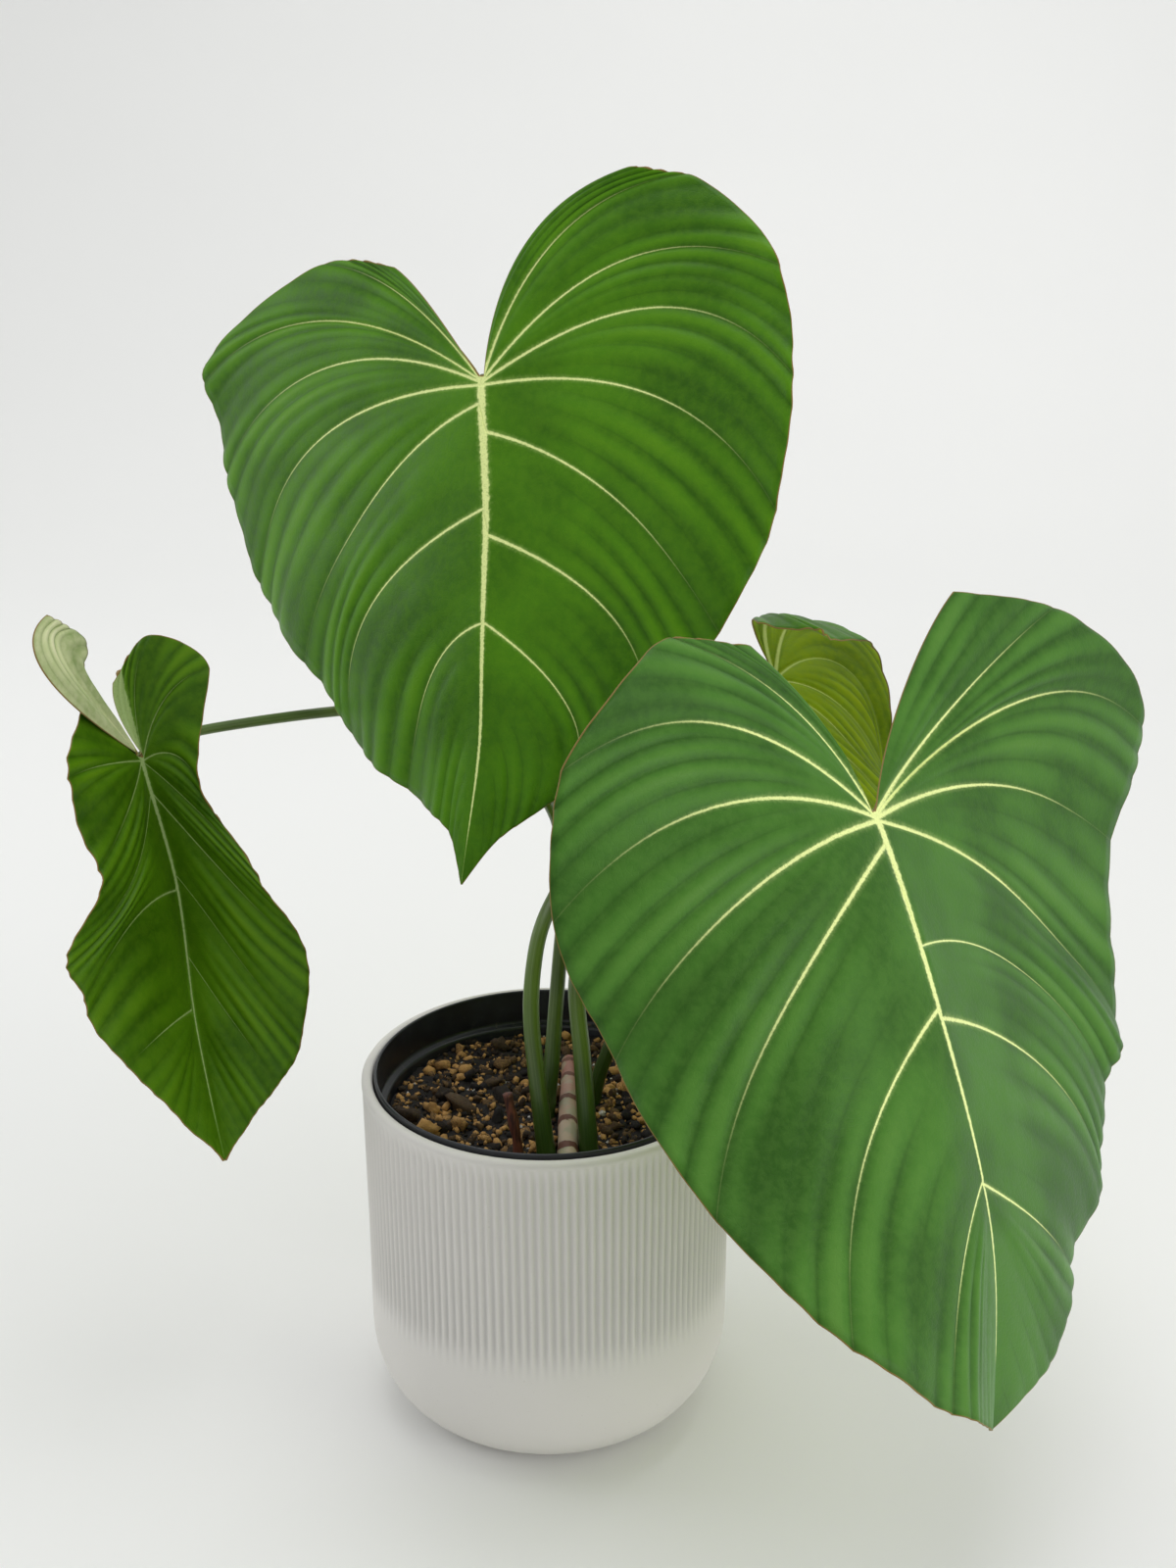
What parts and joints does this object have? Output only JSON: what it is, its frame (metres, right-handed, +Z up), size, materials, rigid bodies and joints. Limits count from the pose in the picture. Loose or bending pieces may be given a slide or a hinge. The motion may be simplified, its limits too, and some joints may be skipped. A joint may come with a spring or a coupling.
{
  "type": "potted philodendron gloriosum",
  "caption": "Potted creeping philodendron with large heart-shaped cream-veined leaves on long stalks, in a plastic growing pot inside a ribbed white cover pot.",
  "frame": {"origin": "middle of the cover pot's flat underside, on the floor", "axes": "+Z up, -Y towards the front, where the large upper sides of the leaves face, +X to the right seen from the front"},
  "size_m": [0.4586, 0.436, 0.4895],
  "materials": {
    "white_ceramic": "matt unglazed white, ribbed",
    "black_plastic": "plain black",
    "bark_soil": "loose bark, chips and white grains",
    "leaf_bright": "satin green with cream veins",
    "leaf_velvet": "velvety blue-green with cream veins",
    "leaf_dark": "satin dark green with pale veins",
    "leaf_under": "matt olive underside",
    "green_stalk": "satin green with paler streaks",
    "pale_rhizome": "matt cream with brown rings",
    "dry_stalk": "dry reddish brown"
  },
  "bodies": {
    "root": {"outer_pot": "white_ceramic", "nursery_pot": "black_plastic", "soil": "bark_soil", "rhizome": "pale_rhizome", "old_stalk": "dry_stalk", "petiole_back": "green_stalk", "petiole_front": "green_stalk", "petiole_left": "green_stalk", "petiole_rear": "green_stalk", "blade_back": "leaf_bright", "blade_front": "leaf_velvet", "blade_left": "leaf_dark", "blade_rear": "leaf_under"}
  },
  "joints": []
}
